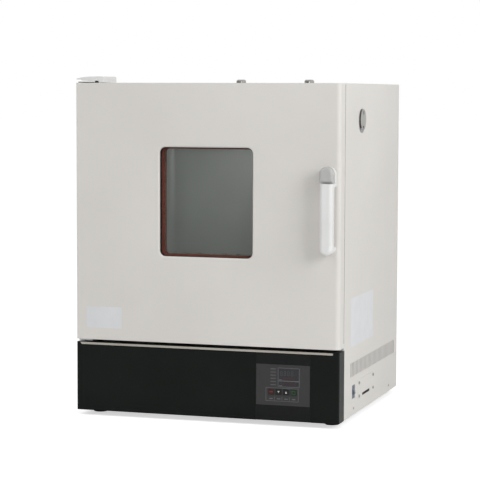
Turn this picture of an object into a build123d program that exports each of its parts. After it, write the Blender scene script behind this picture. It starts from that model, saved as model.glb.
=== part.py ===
from build123d import *
import os

os.makedirs("parts", exist_ok=True)

# Bench drying oven, millimetres. X to the right, Y to the back, Z up from the floor.
# The origin is on the floor, under the middle of the whole outline.

# Cabinet
width = 710.0
depth = 651.0              # door face to rear panel
height = 870.0             # floor to cabinet top
foot_height = 14.0
foot_radius = 19.0
foot_inset = 37.0          # in from the cabinet side
foot_front = 75.0          # behind the door face
foot_rear = 91.0           # in front of the rear panel
rear_low_screw = 100.0     # in front of the rear panel
sheet = 1.5                # cabinet sheet steel
return_width = 15.0        # edges folded in on the side panels
top_lip = 12.0
bend = 2.5                 # outer radius of a folded edge
pan_lip = 26.0
pan_slots = 9              # in each row across the base pan
pan_slot_pitch = 45.0
pan_slot_length = 90.0
pan_slot_width = 9.0
low_screw = 17.0           # above the cabinet bottom
deck_rise = 14.0           # deck above the top of the front cover
deck_lip = 15.0
fit = 0.3                  # gap between pieces that slide together

# Door
door_thick = 44.0
door_gap = 6.0             # door body to the cabinet
door_clear = 7.5           # front cover to the door
handle_edge = 12.0         # radius of the door's edge by the handle
hinge_edge = 3.0
gasket_margin = 9.0        # outside the chamber opening
gasket_width = 12.0
gasket_corner = 10.0
gasket_round = 3.0

# Window in the door
window_width = 250.0
window_height = 281.0
window_rise = 0.5          # above the middle of the chamber
window_corner = 15.0
window_roll = 4.5          # radius of the rolled edge
roll_width = 6.0
frame_wall = 1.5
frame_depth = 10.0
frame_lip = 12.0
lip = 4.0                  # silicone that shows round the pane
channel = 10.0             # width of the silicone channel
seal_thick = 8.0
glass = 4.0
pane_bite = 6.0            # pane inside the silicone
tunnel_wall = 1.0

# Walls round the chamber, which is 600 by 500 by 500 inside
heater_space = 55.0        # below the chamber floor
liner = 1.5
liner_corner = 25.0        # upright rear corners
liner_edge = 8.0
wool_side = 52.0
wool_top = 52.0
wool_low = 50.5
wool_rear = 60.0
rear_space = 35.0          # between the wool and the rear panel
sill = 12.0                # frame below the chamber floor
frame_border = 35.0        # frame left round the opening of the lower compartment

# Floor plate over the heaters
plate_play = 3.0
floor_margin = 50.0
floor_rows = 6
floor_columns = 9
floor_pitch = 62.0
floor_hole = (26.0, 10.0)
side_hole = (30.0, 14.0)

# Shelves
post_width = 26.0
post_depth = 10.0
post_front = 57.0          # behind the chamber front
post_rear = 51.0           # in front of the chamber back
post_sheet = 1.5
hole_pitch = 30.0
hole_height = 9.5
hole_width = 18.0
hole_first = 39.0          # above the chamber floor
post_foot = 3.0            # post above the chamber floor
post_top = 8.0             # post below the chamber top
low_shelf_row = 1          # hole that carries it, counted from the lowest
top_shelf_row = 2          # the same, counted from the highest
ledge = 18.0               # clip that stands out of the post
clip_thick = 2.0
clip_width = 15.0
clip_hook = 8.0
rod = 3.0                  # radius of the shelf's rim
wire = 1.6                 # radius of the shelf's wires
wire_pitch = 38.0
shelf_corner = 16.0
shelf_front = 20.0         # behind the chamber front
wire_sink = 0.5            # wires welded into the rim

# Heaters and probes
heater_radius = 4.2
heater_bend = 34.0
heater_pitch = 190.0
heater_rise = 30.0         # above the chamber bottom
heater_tail = 14.0
flange_radius = 9.0
flange_thick = 3.0
probe_radius = 2.4
probe_length = 62.0
probe_x = (70.0, 120.0)
probe_drop = 110.0         # below the chamber top
probe_tail = 10.0          # behind the insulation
heater_front = 70.0        # bends behind the chamber front

# Front cover and control panel
cover_height = 180.0
cover_wall = 4.0
cover_edge = 4.0
cover_over = 0.5           # cover wider than the door
insert_inset = 73.5        # in from the cabinet side
insert_width = 144.7
insert_thick = 2.5
insert_gap = 1.0           # below the trim strip
insert_rebate = 6.0
panel_inset = 0.6          # in from the insert's left edge
panel_width = 141.6
panel_low = 40.0           # heights on the panel are above the cabinet bottom
panel_high = 144.5
panel_thick = 0.5
screen_inset = 59.6        # in from the panel's left edge
screen_width = 53.0
screen_low = 89.0
screen_high = 135.0
screen_thick = 2.0
key_width = 16.0
key_height = 15.0
key_z = 74.2
key_first = 39.8           # in from the panel's left edge
key_pitch = 19.9
key_names = ("key_red", "key_down", "key_up", "key_green")
key_proud = 0.8
key_travel = 0.8
key_flange = 1.0
key_corner = 1.5
key_round = 0.5
switch = 6.0
board_back = 12.0          # circuit board behind the door face
board_thick = 1.6
board_edge = 10.0
trim_left = 10.0           # in from the cabinet side
trim_right = 15.6
trim_height = 5.5
trim_drop = 0.5            # below the cover's top
trim_proud = 1.5
trim_slant = 4.0

# Right side
slit_front = 118.0
slit_count = 35
slit_pitch = 14.5
slit_width = 7.0
slit_low = 101.0
slit_high = 138.0
breaker_y = 151.0
breaker_width = 33.0
breaker_low = 42.5
breaker_high = 78.0
breaker_depth = 40.0
breaker_sink = 1.0         # face of the breaker inside the panel's face
breaker_lip = 4.0
rocker_radius = 9.0
rocker_width = 13.0
rocker_sink = 6.0
lever_length = 11.0
lever_thick = 4.0
lever_tilt = 22.0          # below level when off, above when on
plate_front = 198.0
plate_rear = 367.0
plate_low = 33.0
plate_high = 83.0
plate_thick = 1.2
plate_screw = 7.5
socket_front = 241.0
socket_rear = 323.0
socket_low = 36.5
socket_high = 44.0
socket_depth = 16.0
socket_margin = 3.0
pin_count = 8
pin_pitch = 10.0
pin_slot = (6.0, 4.0)

# Cable port on the right side
port_y = 215.0
port_drop = 41.0           # below the chamber top
port_bore = 33.0
port_wall = 1.5
port_collar = 6.0          # wider than the sleeve, inside the chamber
port_ring = 63.0
port_ring_thick = 1.5
port_seal = 3.5            # width of the silicone ring
port_seal_thick = 1.8
port_disc = 27.0
port_disc_thick = 1.6
port_disc_rise = 3.0       # middle of the disc above the bore
port_head = 2.0            # wider and thicker than the pivot screw's shank
port_pivot = 21.0          # pivot screw above the bore
port_notch = 7.0
port_screw = 2.5

# Exhaust ports in the top
exhaust_x = (0.0, 190.0)
exhaust_y = 300.0
exhaust_bore = 9.0
exhaust_wall = 1.5
exhaust_flange = 20.0
exhaust_flange_thick = 1.5
exhaust_neck = 5.5
cap_radius = 13.0
cap_height = 9.0
cap_skirt = 1.0            # below the vents
cap_round = 5.4
vent_height = 3.0
vent_turns = (45.0, 225.0)
vent_angle = 70.0

# Hinges
pin_radius = 5.0
pin_x = 17.0               # in from the door's edge
pin_y = 20.0               # behind the door face
pin_fit = 0.06
pin_engage = 12.0
top_plate = 2.5
top_plate_clear = 0.4
top_plate_width = 46.0
top_plate_rear = 42.0      # behind the cabinet front
low_plate = 3.0
low_plate_clear = 1.2
low_flange = 38.0
low_arm = 40.0
plate_inset = 3.0
plate_front_inset = 6.0
hinge_cap_width = 75.0
hinge_cap_rise = 16.4
hinge_cap_wall = 4.0

# Handle and latch
handle_inset = 26.5        # in from the cabinet side
handle_length = 219.0
handle_drop = 13.5         # below the middle of the chamber
handle_width = 33.0
handle_reach = 45.0
grip_thick = 22.0
post_length = 20.0         # lower handle post
button_width = 37.0
button_height = 40.0
button_gap = 3.0
button_thick = 22.0
button_proud = 1.0
button_over = 2.0          # above the handle's end
button_round = 8.0
grip_round = 9.0
grip_corner = 10.0
upper_post = 8.0           # below the button
handle_thread = 10.0
button_travel = 5.0
stem_radius = 5.0
stem_end = 16.0            # behind the door face
stem_gap = 0.8
latch_pivot_drop = 40.0
latch_pivot_y = 30.0
latch_width = 8.0
latch_pin = 3.0
latch_reach = 36.0
latch_bar = 9.0
barb = 4.0
barb_clear = 1.0           # between the barb and its keeper
cheek = 4.0
keeper_thick = 3.0
keeper_margin = 8.0
latch_room = 20.0          # pocket behind the front frame

# Pieces on the base pan, each placed by its middle: in from a side, and in front of the rear panel
transformer_place = (153.5, 267.0)
transformer_core = (80.0, 65.0, 68.0)
transformer_foot = 14.0
transformer_coil = 12.0
relay_place = (313.5, 229.0)
relay_sink = (80.0, 100.0, 34.0)
relay_foot = 6.0
relay_top = 28.0
relay_fins = 8
relay_fin = 2.5
terminal_place = (103.5, 75.0)
terminal_size = (80.0, 28.0, 30.0)
terminal_count = 5
terminal_pitch = 15.6
board_place = (213.5, 384.0)           # in from the right side
board_size = (160.0, 130.0)
board_rise = 12.0
board_parts = ((-44.0, -31.0, 32.0, 28.0, 20.4), (-3.0, -35.0, 26.0, 20.0, 14.4),
               (-36.0, 19.0, 28.0, 28.0, 3.4))
stand_inset = 8.0
stand_radius = 3.0
can_count = 3
can_offset = (20.0, 15.0)
can_pitch = 18.0
can_radius = 6.0
can_height = 24.4

# Rear
gland_inset = 105.0
gland_rise = 66.0
gland_radius = 14.0
gland_reach = 18.0
gland_bore = 4.5
gland_nut = 7.0
gland_dome = 11.5
gland_shank = 9.8
rear_slit_count = 22
rear_slit_pitch = 15.0
rear_slit_drop = 90.0      # upper slits below the cabinet top
rear_screw_rows = (0.07, 0.36, 0.66, 0.94)

screw_radius = 1.8
bolt_radius = 3.0
bolt_head = 6.0
bolt_head_thick = 4.0
bolt_sink = 7.0
nut_thick = 5.0
bolt_tip = 2.0             # above the nut
screw_head = 4.0
screw_head_thick = 2.0
screw_tip = 3.0            # behind the sheet

# Places that follow from the sizes
half = width / 2
inner_x = half - sheet
face_y = (handle_reach - depth - gland_reach) / 2
rear_y = face_y + depth
front_y = face_y + door_thick + door_gap
seal_y = front_y + sheet
frame_y = seal_y + sheet
base = foot_height
cover_top = base + cover_height
deck_z = cover_top + deck_rise
door_low = cover_top + door_clear
door_rear = face_y + door_thick
liner_x = inner_x - wool_side - liner
liner_top = height - sheet - wool_top - liner
liner_low = deck_z + wool_low + liner
floor_z = liner_low + heater_space
wool_front = frame_y
wool_back = rear_y - sheet - rear_space
liner_back = wool_back - wool_rear - liner
opening_low = floor_z - sill
hinge_x = -half + pin_x
hinge_y = face_y + pin_y
chamber_middle = (floor_z + liner_top) / 2
window_z = chamber_middle + window_rise
window_x = window_width / 2
window_low = window_z - window_height / 2
window_high = window_z + window_height / 2
handle_x = half - handle_inset
handle_low = chamber_middle - handle_drop - handle_length / 2
handle_high = handle_low + handle_length
button_low = handle_high - button_height
stem_z = handle_high - button_width / 2
latch_z = stem_z - latch_pivot_drop
latch_y = face_y + latch_pivot_y
port_centre_y = face_y + port_y
port_z = liner_top - port_drop
foot_x = half - foot_inset
insert_right = half - insert_inset
insert_left = insert_right - insert_width
insert_top = cover_top - trim_drop - trim_height - insert_gap
panel_left = insert_left + panel_inset
panel_right = panel_left + panel_width
screen_left = panel_left + screen_inset
screen_right = screen_left + screen_width
key_x = [panel_left + key_first + i * key_pitch for i in range(4)]
probe_z = liner_top - probe_drop
gland_x = -half + gland_inset
gland_z = base + gland_rise
vent_y = face_y + exhaust_y


def block(x, y, z):
    """A box between pairs of limits."""
    size = Box(x[1] - x[0], y[1] - y[0], z[1] - z[0])
    return Pos((x[0] + x[1]) / 2, (y[0] + y[1]) / 2, (z[0] + z[1]) / 2) * size


def panel(a, b, corner=0.0):
    """A flat rectangle between limits, with round corners if asked."""
    wide, tall = a[1] - a[0], b[1] - b[0]
    shape = RectangleRounded(wide, tall, corner) if corner > 0 else Rectangle(wide, tall)
    return Pos((a[0] + a[1]) / 2, (b[0] + b[1]) / 2) * shape


def along_x(shape, x):
    """A flat shape drawn in Y and Z, filled between two X limits."""
    plane = Plane(origin=(x[0], 0, 0), x_dir=(0, 1, 0), z_dir=(1, 0, 0))
    return extrude(plane * shape, x[1] - x[0])


def along_y(shape, y):
    """A flat shape drawn in X and Z, filled between two Y limits."""
    plane = Plane(origin=(0, y[1], 0), x_dir=(1, 0, 0), z_dir=(0, -1, 0))
    return extrude(plane * shape, y[1] - y[0])


def along_z(shape, z):
    """A flat shape drawn in X and Y, filled between two heights."""
    return extrude(Pos(0, 0, z[0]) * shape, z[1] - z[0])


def disc(a, b, radius):
    return Pos(a, b) * Circle(radius)


def rod_between(a, b, radius):
    """A round rod from one point to another."""
    run = Vector(*b) - Vector(*a)
    return extrude(Plane(origin=a, z_dir=run) * Circle(radius), run.length)


def rod_bend(middle, start, turn, bend_radius, radius):
    """A round rod bent flat about an upright axis, from one angle through another."""
    ring = revolve(Plane.XZ * disc(bend_radius, 0, radius), Axis.Z, turn)
    return Pos(*middle) * Rot(0, 0, start) * ring


def mirrored(part):
    return mirror(part, about=Plane.YZ)


def save(name, *solids):
    whole = solids[0] if len(solids) == 1 else Compound(children=list(solids))
    export_step(whole, f"parts/{name}.step")


def foot_places():
    for x in (-foot_x, foot_x):
        for y in (face_y + foot_front, rear_y - foot_rear):
            yield x, y


def slits(first, count, pitch, low, high, wide):
    row = [panel((first + i * pitch, first + i * pitch + wide), (low, high)) for i in range(count)]
    return Sketch() + row


# Cabinet
def make_base_pan():
    x = (-inner_x, inner_x)
    y = (frame_y, rear_y - 2 * sheet)
    pan = block(x, y, (base, base + pan_lip))
    pan -= block((x[0] + sheet, x[1] - sheet), (y[0] + sheet, y[1] - sheet),
                 (base + sheet, base + pan_lip))
    vents = Sketch()
    first = -(pan_slots - 1) * pan_slot_pitch / 2 - pan_slot_width / 2
    for part_way in (1 / 3, 2 / 3):
        middle = y[0] + part_way * (y[1] - y[0])
        vents += slits(first, pan_slots, pan_slot_pitch, middle - pan_slot_length / 2,
                       middle + pan_slot_length / 2, pan_slot_width)
    for place in foot_places():
        vents += disc(*place, bolt_radius)
    pan -= along_z(vents, (base, base + sheet))
    for side_y, z in side_screw_places():
        pan -= along_x(disc(side_y, z, screw_radius), x)
    save("base_pan", pan)


def make_feet():
    feet, bolts = [], []
    for x, y in foot_places():
        foot = along_z(disc(x, y, foot_radius), (0, base))
        foot = chamfer(foot.faces().sort_by(Axis.Z)[0].edges(), 1.5)
        foot -= along_z(disc(x, y, bolt_head + 1.0), (0, bolt_sink))
        foot -= along_z(disc(x, y, bolt_radius), (0, base))
        feet.append(foot)
        bolt = along_z(disc(x, y, bolt_head), (bolt_sink - bolt_head_thick, bolt_sink))
        bolt += along_z(disc(x, y, bolt_radius), (bolt_sink, base + sheet + nut_thick + bolt_tip))
        nut = Pos(x, y) * RegularPolygon(bolt_head, 6)
        bolt += along_z(nut, (base + sheet, base + sheet + nut_thick))
        bolts.append(bolt)
    save("feet", *feet)
    save("foot_bolts", *bolts)


def side_shell():
    """A side panel folded in along its front and rear edges, on the +X side."""
    y = (front_y, rear_y - sheet)
    outline = panel((half - return_width, half), y) - panel(
        (half - return_width, half - sheet), (y[0] + sheet, y[1] - sheet))
    shell = along_z(outline, (base, height))
    top_lap = block((half - return_width, inner_x), (y[0], rear_y), (height - sheet, height))
    shell -= top_lap
    tall = shell.edges().filter_by(Axis.Z)
    outer = [e for e in tall if abs(e.center().X - half) < 0.01]
    return fillet(outer, bend)


def side_screw_places():
    return [(face_y + breaker_y, base + low_screw), (rear_y - rear_low_screw, base + low_screw)]


def service_screw_places():
    low, high = base + plate_low + plate_screw, base + plate_high - plate_screw
    for y in (plate_front + plate_screw, plate_rear - plate_screw):
        for z in (low, high):
            yield face_y + y, z


def make_side_panels():
    shell = side_shell()
    vents = slits(face_y + slit_front, slit_count, slit_pitch, base + slit_low,
                  base + slit_high, slit_width)
    for y, z in side_screw_places():
        vents += disc(y, z, screw_radius)
    shell -= along_x(vents, (inner_x, half))
    save("left_side_panel", mirrored(shell))
    holes = panel((face_y + breaker_y - breaker_width / 2, face_y + breaker_y + breaker_width / 2),
                  (base + breaker_low, base + breaker_high), 1.0)
    holes += panel((face_y + socket_front - 2 * socket_margin, face_y + socket_rear + 2 * socket_margin),
                   (base + socket_low - socket_margin, base + plate_high - 2 * plate_screw))
    holes += disc(port_centre_y, port_z, port_bore / 2 + port_wall)
    for place in service_screw_places():
        holes += disc(*place, screw_radius)
    save("right_side_panel", shell - along_x(holes, (inner_x, half)))


def make_top_panel():
    top = block((-inner_x, inner_x), (front_y, rear_y - sheet), (height - sheet, height))
    lip_x = half - return_width - fit
    top += block((-lip_x, lip_x), (front_y, seal_y), (height - top_lip, height - sheet))
    for x in exhaust_x:
        top -= along_z(disc(x, vent_y, exhaust_bore + exhaust_wall), (height - sheet, height))
    save("top_panel", top)


def rear_screw_places():
    x = half - sheet - return_width / 2
    for row in rear_screw_rows:
        z = base + row * (height - base)
        yield -x, z
        yield x, z


def make_rear_panel():
    outline = panel((-half, half), (base, height), bend)
    first = -(rear_slit_count * rear_slit_pitch) / 2
    outline -= slits(first, rear_slit_count, rear_slit_pitch, base + slit_low,
                     base + slit_high, slit_width)
    low = height - rear_slit_drop
    outline -= slits(first, rear_slit_count, rear_slit_pitch, low, low + slit_high - slit_low,
                     slit_width)
    outline -= disc(gland_x, gland_z, gland_shank)
    for place in rear_screw_places():
        outline -= disc(*place, screw_radius)
    save("rear_panel", along_y(outline, (rear_y - sheet, rear_y)))


def make_front_frame():
    outline = panel((-inner_x, inner_x), (base, height - sheet))
    outline -= panel((-liner_x, liner_x), (opening_low, liner_top), liner_edge)
    outline -= panel((-inner_x + frame_border, inner_x - frame_border),
                     (base + frame_border, cover_top - frame_border), liner_edge)
    outline -= latch_hole()
    save("front_frame", along_y(outline, (seal_y, frame_y)))


def make_deck():
    y = (frame_y, rear_y - 2 * sheet)
    deck = block((-inner_x, inner_x), y, (deck_z - deck_lip, deck_z))
    deck -= block((-inner_x, inner_x), (y[0] + sheet, y[1] - sheet),
                  (deck_z - deck_lip, deck_z - sheet))
    save("compartment_deck", deck)


# Chamber
def heater_legs():
    for i in (-1, 0, 1):
        for side in (-1, 1):
            yield i * heater_pitch + side * heater_bend


def make_liner():
    def body(grow):
        box = block((-liner_x - grow, liner_x + grow), (frame_y, liner_back + grow),
                    (liner_low - grow, liner_top + grow))
        tall = box.edges().filter_by(Axis.Z).group_by(Axis.Y)[-1]
        box = fillet(tall, liner_corner + grow)
        lying = [e for e in box.edges().filter_by(Axis.Y)]
        return fillet(lying, liner_edge + grow)

    tub = body(liner) - body(0.0)
    tub -= along_x(disc(port_centre_y, port_z, port_bore / 2 + port_wall), (liner_x, liner_x + liner))
    for x in exhaust_x:
        tub -= along_z(disc(x, vent_y, exhaust_bore + exhaust_wall), (liner_top, liner_top + liner))
    for x in heater_legs():
        tub -= along_y(disc(x, liner_low + heater_rise, heater_radius),
                       (liner_back, liner_back + liner))
    for x in probe_x:
        tub -= along_y(disc(x, probe_z, probe_radius), (liner_back, liner_back + liner))
    save("chamber_liner", tub)


def make_insulation():
    out = liner_x + liner
    tall = (deck_z, height - sheet)
    right = block((out, inner_x), (wool_front, wool_back), tall)
    left = mirrored(right)
    right -= along_x(disc(port_centre_y, port_z, port_bore / 2 + port_wall), (out, inner_x))
    pocket = latch_hole(keeper_margin + 1.0)
    right -= along_y(pocket, (frame_y, frame_y + latch_room))
    top = block((-out, out), (wool_front, liner_back + liner), (liner_top + liner, tall[1]))
    for x in exhaust_x:
        top -= along_z(disc(x, vent_y, exhaust_bore + exhaust_wall), (liner_top + liner, tall[1]))
    low = block((-out, out), (wool_front, liner_back + liner), (tall[0], liner_low - liner))
    rear = block((-out, out), (liner_back + liner, wool_back), tall)
    for x in heater_legs():
        rear -= along_y(disc(x, liner_low + heater_rise, heater_radius),
                        (liner_back + liner, wool_back))
    for x in probe_x:
        rear -= along_y(disc(x, probe_z, probe_radius), (liner_back + liner, wool_back))
    save("chamber_insulation", left, right, top, low, rear)


def make_floor_plate():
    x = liner_x - liner_edge
    wide = liner_x - plate_play
    y = (frame_y + plate_play, liner_back - liner_corner)
    plate = block((-x, x), y, (liner_low, floor_z))
    plate -= block((-x + liner, x - liner), y, (liner_low, floor_z - liner))
    plate += block((-wide, wide), y, (floor_z - liner, floor_z))
    rows = [y[0] + floor_margin + j * (y[1] - y[0] - 2 * floor_margin) / (floor_rows - 1)
            for j in range(floor_rows)]
    holes = [Pos((i - (floor_columns - 1) / 2) * floor_pitch, row) * Rectangle(*floor_hole)
             for row in rows for i in range(floor_columns)]
    plate -= along_z(Sketch() + holes, (floor_z - liner, floor_z))
    sides = [Pos(row, (liner_low + floor_z) / 2) * Rectangle(*side_hole) for row in rows]
    save("chamber_floor_plate", plate - along_x(Sketch() + sides, (-x, x)))


def make_heaters():
    tubes = []
    z = liner_low + heater_rise
    for i in (-1, 0, 1):
        x = i * heater_pitch
        tail, bend_y = wool_back + heater_tail, frame_y + heater_front
        tube = rod_bend((x, bend_y, z), 180, 180, heater_bend, heater_radius)
        for side in (-1, 1):
            leg_x = x + side * heater_bend
            tube += rod_between((leg_x, bend_y, z), (leg_x, tail, z), heater_radius)
            tube += along_y(disc(leg_x, z, flange_radius), (liner_back - flange_thick, liner_back))
        tubes.append(tube)
    save("heater_elements", *tubes)


def make_probes():
    probes = []
    for x in probe_x:
        probe = along_y(disc(x, probe_z, probe_radius),
                        (liner_back - probe_length, wool_back + probe_tail))
        probe += along_y(disc(x, probe_z, flange_radius), (liner_back - flange_thick, liner_back))
        probes.append(probe)
    save("sensor_probes", *probes)


def post_places():
    return (frame_y + post_front, liner_back - post_rear)


def hole_z(row):
    return floor_z + hole_first + row * hole_pitch


def last_row():
    return int((liner_top - post_top - hole_height - hole_z(0)) // hole_pitch)


def shelf_heights():
    """Height of the clips' upper face under each shelf."""
    rows = (low_shelf_row, last_row() - top_shelf_row)
    return [hole_z(row) - hole_height / 2 + clip_thick for row in rows]


def make_posts():
    low, high = floor_z + post_foot, liner_top - post_top
    posts, clips = [], []
    for y in post_places():
        outline = panel((liner_x - post_depth, liner_x), (y - post_width / 2, y + post_width / 2))
        outline -= panel((liner_x - post_depth + post_sheet, liner_x),
                         (y - post_width / 2 + post_sheet, y + post_width / 2 - post_sheet))
        post = along_z(outline, (low, high))
        holes = [Pos(y, hole_z(row)) * Rectangle(hole_width, hole_height)
                 for row in range(last_row() + 1)]
        post -= along_x(Sketch() + holes, (liner_x - post_depth, liner_x - post_depth + post_sheet))
        posts += [post, mirrored(post)]
        for top in shelf_heights():
            web = liner_x - post_depth
            side = (y - clip_width / 2, y + clip_width / 2)
            clip = block((web - ledge, web + post_sheet + clip_thick + fit), side, (top - clip_thick, top))
            clip += block((web + post_sheet + fit, web + post_sheet + clip_thick + fit), side,
                          (top - clip_hook, top))
            clip += block((web - clip_thick, web), side, (top - clip_hook, top))
            clips += [clip, mirrored(clip)]
    save("shelf_posts", *posts)
    save("shelf_brackets", *clips)


def shelf_rim(x, y, z):
    """A closed ring of rod, its middle line at x either side and between two Y limits."""
    side, front, back = x - shelf_corner, y[0] + shelf_corner, y[1] - shelf_corner
    rim = rod_between((-side, y[0], z), (side, y[0], z), rod)
    rim += rod_between((-side, y[1], z), (side, y[1], z), rod)
    for end in (-1, 1):
        rim += rod_between((end * x, front, z), (end * x, back, z), rod)
    for middle, start in (((side, back), 0), ((-side, back), 90), ((-side, front), 180),
                          ((side, front), 270)):
        rim += rod_bend((*middle, z), start, 90, shelf_corner, rod)
    return rim


def make_shelves():
    out_x = liner_x - post_depth - clip_thick
    y = (frame_y + shelf_front, liner_back - liner_corner)
    shelves = []
    for top in shelf_heights():
        z = top + rod
        shelf = shelf_rim(out_x - rod, (y[0] + rod, y[1] - rod), z)
        count = int((out_x - 2 * rod - shelf_corner) // wire_pitch)
        for i in range(-count, count + 1):
            shelf += along_y(disc(i * wire_pitch, z + rod + wire - wire_sink, wire),
                             (y[0] + rod, y[1] - rod))
        shelves.append(shelf)
    save("wire_shelves", *shelves)


# Front cover and control panel
def make_front_cover():
    x = half + cover_over
    cover = block((-x, x), (face_y, front_y), (base, cover_top))
    upright = cover.edges().filter_by(Axis.Z).group_by(Axis.Y)[0]
    cover = fillet(upright, cover_edge)
    cover -= block((-x + cover_wall, x - cover_wall), (face_y + cover_wall, front_y),
                   (base + cover_wall, cover_top - cover_wall))
    cover -= block((insert_left, insert_right), (face_y, face_y + insert_thick), (base, insert_top))
    cover -= block((panel_left + insert_rebate, panel_right - insert_rebate),
                   (face_y, face_y + cover_wall),
                   (base + panel_low + insert_rebate, base + panel_high - insert_rebate))
    arm = low_hinge_x()
    cover -= block((arm[0] - fit, arm[1] + fit), (front_y - low_plate - fit, front_y),
                   (cover_top - cover_wall, cover_top))
    save("front_cover", cover)


def key_hole(grow):
    return [key_outline(x, grow) for x in key_x]


def key_outline(x, grow=0.0):
    z = base + key_z
    return panel((x - key_width / 2 - grow, x + key_width / 2 + grow),
                 (z - key_height / 2 - grow, z + key_height / 2 + grow), key_corner)


def screen_area(grow=0.0):
    return panel((screen_left - grow, screen_right + grow),
                 (base + screen_low - grow, base + screen_high + grow))


def make_control_insert():
    outline = panel((insert_left + fit, insert_right - fit), (base + fit, insert_top - fit))
    outline -= screen_area()
    for hole in key_hole(fit):
        outline -= hole
    save("control_insert", along_y(outline, (face_y, face_y + insert_thick)))


def make_operation_sheet():
    outline = panel((panel_left, panel_right), (base + panel_low, base + panel_high), 1.0)
    outline -= screen_area()
    for hole in key_hole(fit):
        outline -= hole
    save("operation_sheet", along_y(outline, (face_y - panel_thick, face_y)))
    lens = along_y(screen_area(), (face_y - panel_thick, face_y + screen_thick))
    save("display_window", lens)


def make_keys():
    rear = face_y + insert_thick + fit
    for name, x in zip(key_names, key_x):
        cap = along_y(key_outline(x), (face_y - panel_thick - key_proud, rear))
        cap = fillet(cap.faces().sort_by(Axis.Y)[0].edges(), key_round)
        cap += along_y(key_outline(x, key_flange), (rear, rear + key_flange))
        save(name, cap)


def make_display_board():
    y = face_y + board_back
    x = (panel_left + board_edge, panel_right - board_edge)
    z = (base + panel_low + board_edge, base + panel_high - board_edge)
    board = block(x, (y, y + board_thick), z)
    board += along_y(screen_area(-screen_thick), (face_y + screen_thick, y))
    switch_front = face_y + insert_thick + fit + key_flange + key_travel + fit
    for key in key_x:
        board += block((key - switch / 2, key + switch / 2), (switch_front, y),
                       (base + key_z - switch / 2, base + key_z + switch / 2))
    for px in (x[0] + switch, x[1] - switch):
        for pz in (z[0] + switch, z[1] - switch):
            board += along_y(disc(px, pz, stand_radius), (face_y + insert_thick, y))
    save("display_board", board)


def make_trim_strip():
    high = cover_top - trim_drop
    low = high - trim_height
    right_end = half - trim_right - trim_height / 2
    left = -half + trim_left
    outline = make_face(Polyline((left, high), (left + trim_slant, low), (right_end, low),
                                 (right_end, high), close=True))
    outline += disc(right_end, (low + high) / 2, trim_height / 2)
    save("trim_strip", along_y(outline, (face_y - trim_proud, face_y)))


# Right side
def breaker_axis():
    return (half - rocker_sink, base + (breaker_low + breaker_high) / 2)


def make_breaker():
    y = (face_y + breaker_y - breaker_width / 2, face_y + breaker_y + breaker_width / 2)
    z = (base + breaker_low, base + breaker_high)
    x, mid = breaker_axis()
    body = block((inner_x - breaker_depth, half - breaker_sink), (y[0] + fit, y[1] - fit),
                 (z[0] + fit, z[1] - fit))
    body += block((inner_x - breaker_depth, inner_x), (y[0] - breaker_lip, y[1] + breaker_lip),
                  (z[0] - breaker_lip, z[1] + breaker_lip))
    middle = face_y + breaker_y
    side = (middle - rocker_width / 2 - fit, middle + rocker_width / 2 + fit)
    well = Plane(origin=(x, side[0], mid), x_dir=(1, 0, 0), z_dir=(0, 1, 0))
    body -= extrude(well * Circle(rocker_radius + fit), side[1] - side[0])
    body -= block((x, half), side, (mid - rocker_radius - fit, mid + rocker_radius + fit))
    save("breaker_body", body)
    side = (middle - rocker_width / 2, middle + rocker_width / 2)
    drum = Plane(origin=(x, side[0], mid), x_dir=(1, 0, 0), z_dir=(0, 1, 0))
    lever = extrude(drum * Circle(rocker_radius), side[1] - side[0])
    arm = block((0, lever_length), (side[0] + 2.0, side[1] - 2.0), (-lever_thick / 2, lever_thick / 2))
    lever += Pos(x, 0, mid) * Rot(0, lever_tilt, 0) * arm
    save("breaker_lever", lever)


def make_service_plate():
    outline = panel((face_y + plate_front, face_y + plate_rear), (base + plate_low, base + plate_high), 3.0)
    outline -= panel((face_y + socket_front, face_y + socket_rear),
                     (base + socket_low, base + socket_high), 1.0)
    for place in service_screw_places():
        outline -= disc(*place, screw_radius)
    save("service_plate", along_x(outline, (half, half + plate_thick)))
    socket = block((inner_x - socket_depth, half),
                   (face_y + socket_front - socket_margin, face_y + socket_rear + socket_margin),
                   (base + socket_low - 1.0, base + socket_high + 1.0))
    middle = ((socket_front + socket_rear) / 2 + face_y, (socket_low + socket_high) / 2 + base)
    pins = [Pos(middle[0] + (i - (pin_count - 1) / 2) * pin_pitch, middle[1]) * Rectangle(*pin_slot)
            for i in range(pin_count)]
    save("communication_connector", socket - along_x(Sketch() + pins, (half - socket_depth / 2, half)))


def make_panel_screws():
    screws = []
    for y, z in service_screw_places():
        face = half + plate_thick
        screws.append(along_x(disc(y, z, screw_head), (face, face + screw_head_thick))
                      + along_x(disc(y, z, screw_radius), (inner_x - screw_tip, face)))
    for y, z in side_screw_places():
        screw = (along_x(disc(y, z, screw_head * 0.8), (half, half + screw_head_thick * 0.6))
                 + along_x(disc(y, z, screw_radius), (inner_x - screw_tip, half)))
        screws += [screw, mirrored(screw)]
    for x, z in rear_screw_places():
        screws.append(along_y(disc(x, z, screw_head), (rear_y, rear_y + screw_head_thick))
                      + along_y(disc(x, z, screw_radius), (rear_y - sheet, rear_y)))
    save("panel_screws", *screws)


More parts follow.
